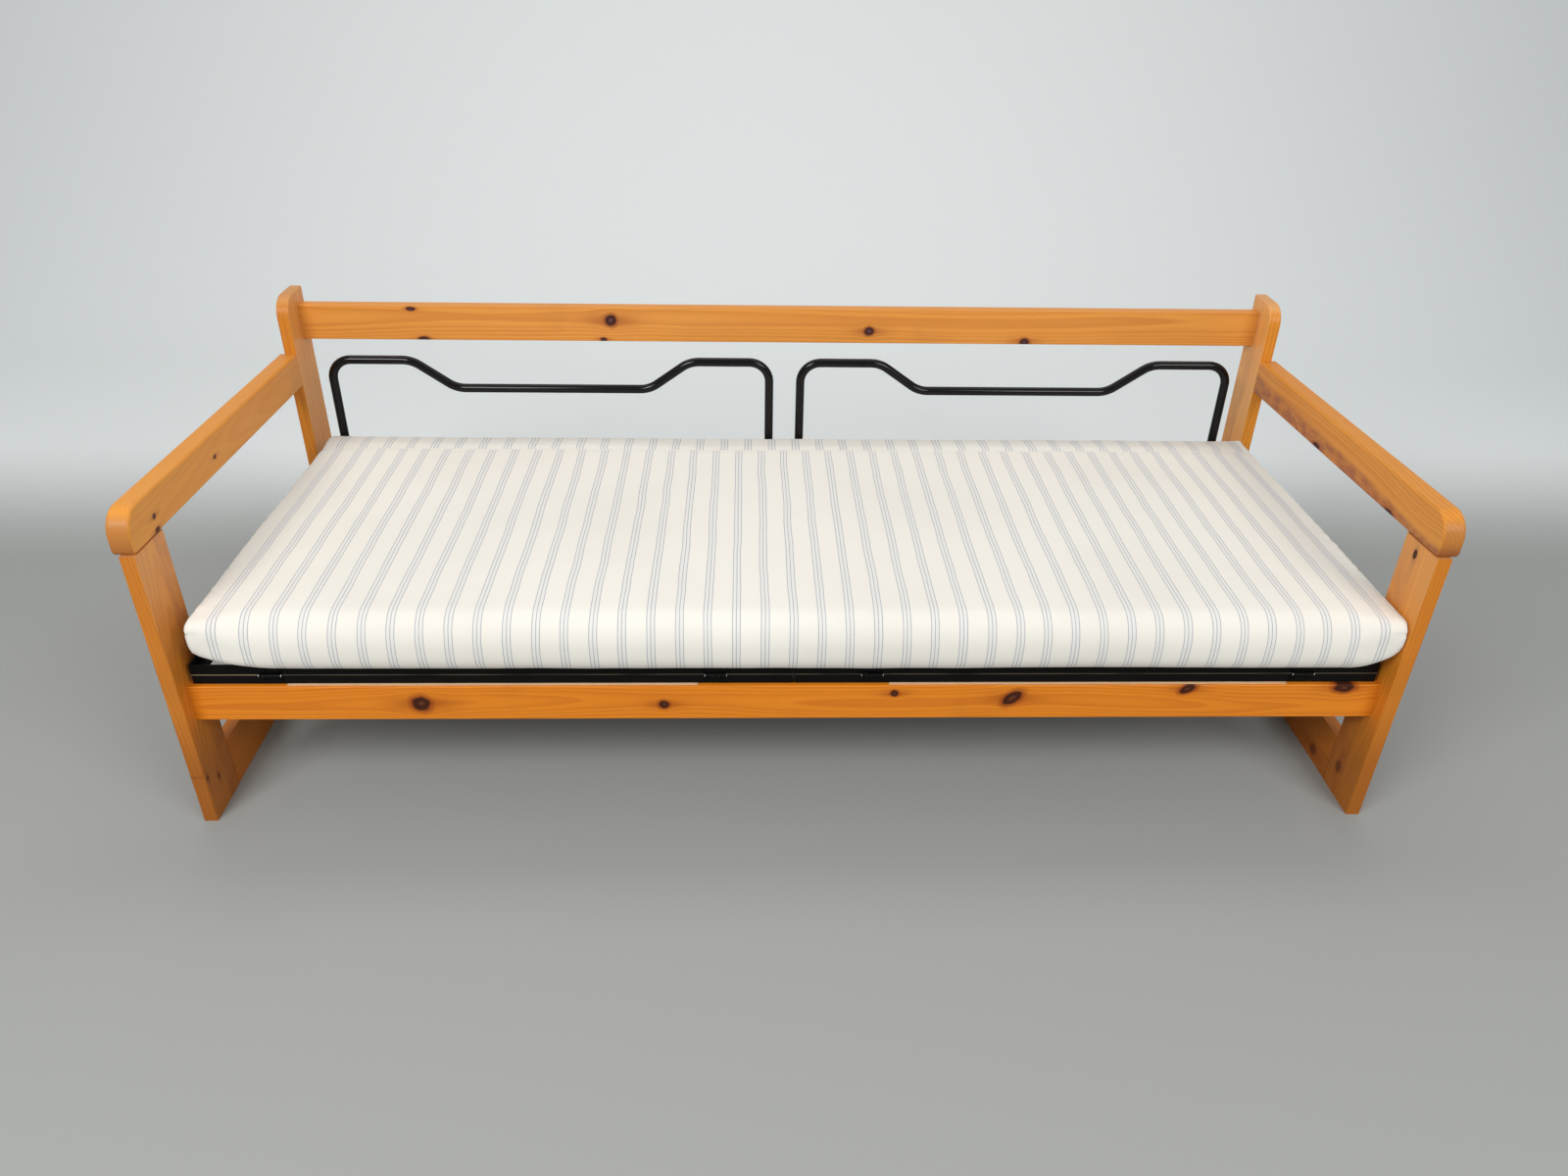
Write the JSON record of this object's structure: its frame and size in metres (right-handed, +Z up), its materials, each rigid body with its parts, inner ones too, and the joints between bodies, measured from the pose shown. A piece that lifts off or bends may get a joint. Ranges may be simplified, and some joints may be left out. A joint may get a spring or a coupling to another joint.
{
  "type": "fold-out bench bed",
  "caption": "Pine bench with plank armrests, a striped mattress on black wire-net frames, and tube hoops behind it that become legs as the frames fold forward into a bed.",
  "frame": {"origin": "on the floor under the middle of the bench, halfway along it and halfway between the front faces of the front legs and the rear faces of the rear posts", "axes": "+X along the bench to the right as seen from the front, +Y to the back, +Z up"},
  "size_m": [2.072, 0.852, 0.688],
  "materials": {
    "pine": "clear varnish over pine, aged to orange, semi-gloss",
    "beech_dowel": "plain turned dowel",
    "felt": "thin pale felt strip",
    "satin_black": "satin black paint on steel angle",
    "gloss_black": "gloss black enamel on bent tube",
    "net_steel": "galvanised wire",
    "plated_steel": "zinc-plated fasteners",
    "ticking": "off-white cotton ticking with groups of thin grey-blue lines",
    "foam": "open-cell polyurethane foam"
  },
  "bodies": {
    "bench_frame": {"back_rail": "pine", "front_rail": "pine", "front_rail_felts": "felt", "left_armrest": "pine", "left_floor_runner": "pine", "left_front_leg": "pine", "left_rear_post": "pine", "rail_dowels": "beech_dowel", "rear_seat_rail": "pine", "rear_seat_rail_felts": "felt", "right_armrest": "pine", "right_floor_runner": "pine", "right_front_leg": "pine", "right_rear_post": "pine", "side_frame_dowels": "beech_dowel", "rail_bolts": "plated_steel", "barrel_nuts": "plated_steel", "bracket_screws": "plated_steel", "rail_brackets": "satin_black", "left_lower_long_angles": "satin_black", "left_lower_end_angles": "satin_black", "left_lower_tie_bar": "satin_black", "left_lower_wire_net": "net_steel", "left_lower_net_springs": "net_steel", "left_lower_hinge_leaves": "satin_black", "left_lower_hinge_rivets": "plated_steel", "left_hinge_pins": "plated_steel", "right_lower_long_angles": "satin_black", "right_lower_end_angles": "satin_black", "right_lower_tie_bar": "satin_black", "right_lower_wire_net": "net_steel", "right_lower_net_springs": "net_steel", "right_lower_hinge_leaves": "satin_black", "right_lower_hinge_rivets": "plated_steel", "right_hinge_pins": "plated_steel"},
    "left_bed_frame": {"left_upper_long_angles": "satin_black", "left_upper_end_angles": "satin_black", "left_upper_tie_bar": "satin_black", "left_upper_wire_net": "net_steel", "left_upper_net_springs": "net_steel", "left_upper_hinge_leaves": "satin_black", "left_upper_hinge_rivets": "plated_steel", "left_hoop": "gloss_black", "left_hoop_sockets": "satin_black", "left_hoop_bolts": "plated_steel", "left_hoop_nuts": "plated_steel"},
    "right_bed_frame": {"right_upper_long_angles": "satin_black", "right_upper_end_angles": "satin_black", "right_upper_tie_bar": "satin_black", "right_upper_wire_net": "net_steel", "right_upper_net_springs": "net_steel", "right_upper_hinge_leaves": "satin_black", "right_upper_hinge_rivets": "plated_steel", "right_hoop": "gloss_black", "right_hoop_sockets": "satin_black", "right_hoop_bolts": "plated_steel", "right_hoop_nuts": "plated_steel"},
    "mattress": {"mattress_cover": "ticking", "mattress_foam": "foam"}
  },
  "joints": [
    {"name": "left_fold_out", "type": "hinge", "parent": "bench_frame", "child": "left_bed_frame", "pos_m": [-0.4955, -0.395, 0.288], "axis": [1, 0, 0], "range_deg": [0, 180], "deforming": ["mattress_cover", "mattress_foam"]},
    {"name": "right_fold_out", "type": "hinge", "parent": "bench_frame", "child": "right_bed_frame", "pos_m": [0.4955, -0.395, 0.288], "axis": [1, 0, 0], "range_deg": [0, 180], "deforming": ["mattress_cover", "mattress_foam"]},
    {"name": "mattress_lift", "type": "slide", "parent": "bench_frame", "child": "mattress", "axis": [0, 0, 1], "range_m": [0, 0.5]}
  ]
}
